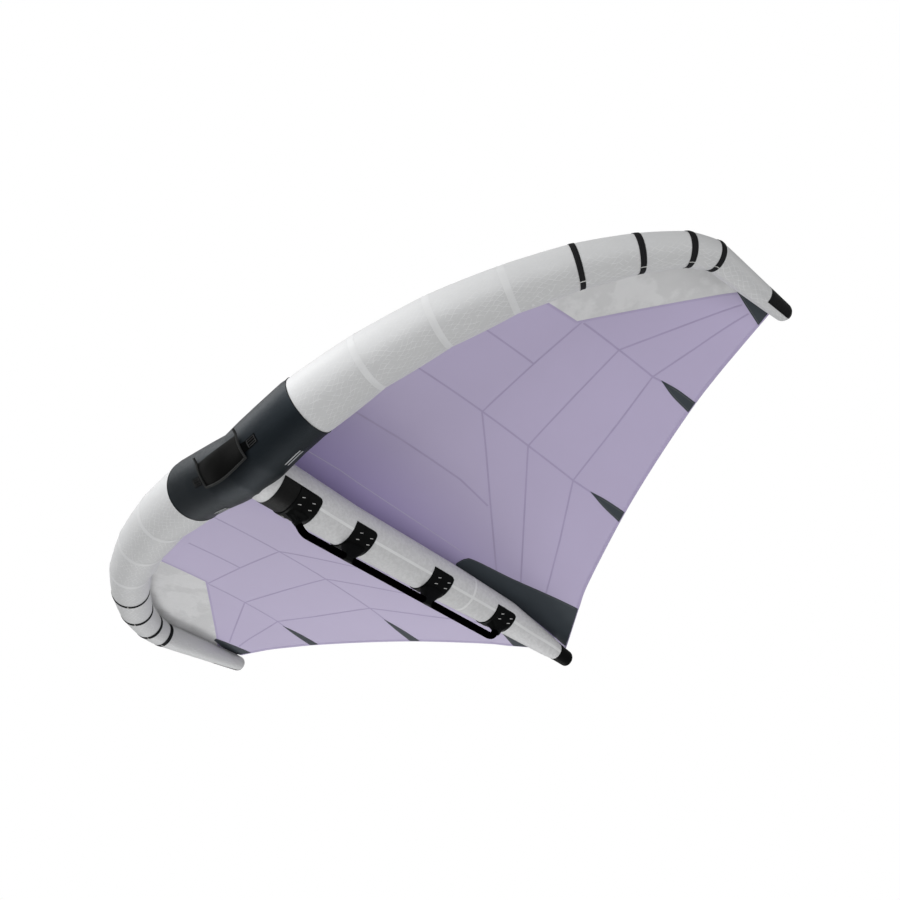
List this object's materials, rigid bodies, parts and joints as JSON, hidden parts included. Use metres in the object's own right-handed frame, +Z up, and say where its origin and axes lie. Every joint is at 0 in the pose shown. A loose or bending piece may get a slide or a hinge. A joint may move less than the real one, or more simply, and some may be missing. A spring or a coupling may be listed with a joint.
{
  "type": "wingfoil wing",
  "caption": "Hand-held inflatable wing: tube leading edge and centre strut carry a cloth canopy; a rigid boom and a grab handle are held in the hands.",
  "frame": {"origin": "middle of the boom's straight run, on its centre line, where the hands hold the wing", "axes": "+X to the wing's right tip, +Y from the nose to the tail along the strut, +Z up from the boom to the canopy"},
  "size_m": [3.4534, 1.9233, 0.669],
  "materials": {
    "pale_cloth": "matt coated sailcloth",
    "dark_cloth": "matt coated sailcloth",
    "lilac_cloth": "satin ripstop sailcloth",
    "grey_cloth": "satin ripstop sailcloth",
    "slate_cloth": "matt reinforcement cloth",
    "black_rubber": "matt moulded rubber",
    "clear_film": "translucent bladder film",
    "black_boom": "satin black",
    "black_webbing": "woven webbing",
    "valve_plastic": "moulded plastic"
  },
  "bodies": {
    "wing": {"access_welt_left": "grey_cloth", "access_welt_right": "grey_cloth", "boom": "black_boom", "boom_front_patch": "dark_cloth", "boom_saddle_front": "black_rubber", "boom_saddle_rear": "black_rubber", "boom_saddle_second": "black_rubber", "boom_saddle_third": "black_rubber", "canopy_left": "lilac_cloth", "canopy_right": "lilac_cloth", "edge_patch_inner_left": "slate_cloth", "edge_patch_inner_right": "slate_cloth", "edge_patch_outer_left": "slate_cloth", "edge_patch_outer_right": "slate_cloth", "handle_tab_left": "black_webbing", "handle_tab_right": "black_webbing", "leading_edge_bladder": "clear_film", "leading_edge_panel_1_left": "pale_cloth", "leading_edge_panel_1_right": "pale_cloth", "leading_edge_panel_2_left": "pale_cloth", "leading_edge_panel_2_right": "pale_cloth", "leading_edge_panel_3_left": "pale_cloth", "leading_edge_panel_3_right": "pale_cloth", "leading_edge_panel_4_left": "pale_cloth", "leading_edge_panel_4_right": "pale_cloth", "leading_edge_panel_5_left": "pale_cloth", "leading_edge_panel_5_right": "pale_cloth", "leading_edge_panel_6_left": "pale_cloth", "leading_edge_panel_6_right": "pale_cloth", "leading_edge_panel_7_left": "pale_cloth", "leading_edge_panel_7_right": "pale_cloth", "leading_edge_tip_left": "pale_cloth", "leading_edge_tip_right": "pale_cloth", "leading_edge_wrap": "dark_cloth", "seam_band_1_left": "black_webbing", "seam_band_1_right": "black_webbing", "seam_band_2_left": "black_webbing", "seam_band_2_right": "black_webbing", "seam_band_3_left": "black_webbing", "seam_band_3_right": "black_webbing", "seam_band_4_left": "black_webbing", "seam_band_4_right": "black_webbing", "strut_bladder": "clear_film", "strut_casing_front": "pale_cloth", "strut_casing_rear": "pale_cloth", "strut_end_cap": "black_rubber", "strut_patch_left": "slate_cloth", "strut_patch_right": "slate_cloth", "tip_panel_left": "grey_cloth", "tip_panel_right": "grey_cloth", "tip_patch_left": "slate_cloth", "tip_patch_right": "slate_cloth", "tip_scuff_patch_left": "black_rubber", "tip_scuff_patch_right": "black_rubber", "transfer_hose": "clear_film", "valve_base": "valve_plastic"},
    "handle": {"handle_band": "black_webbing"},
    "valve_insert": {"valve_insert": "valve_plastic"},
    "valve_cap": {"valve_cap": "black_rubber"}
  },
  "joints": [
    {"name": "handle_swing", "type": "hinge", "parent": "wing", "child": "handle", "pos_m": [0, -0.9012, 0.1081], "axis": [1, 0, 0], "range_deg": [-8, 8], "stiffness_Nm_per_rad": 4},
    {"name": "valve_insert_turn", "type": "hinge", "parent": "wing", "child": "valve_insert", "pos_m": [-0.24069, -0.67454, 0.27246], "axis": [0.1711, 0.9394, 0.2971], "range_deg": [0, 90]},
    {"name": "valve_cap_lift", "type": "hinge", "parent": "valve_insert", "child": "valve_cap", "pos_m": [-0.25676, -0.65652, 0.28349], "axis": [0.2505, -0.3331, 0.909], "range_deg": [0, 150]}
  ]
}
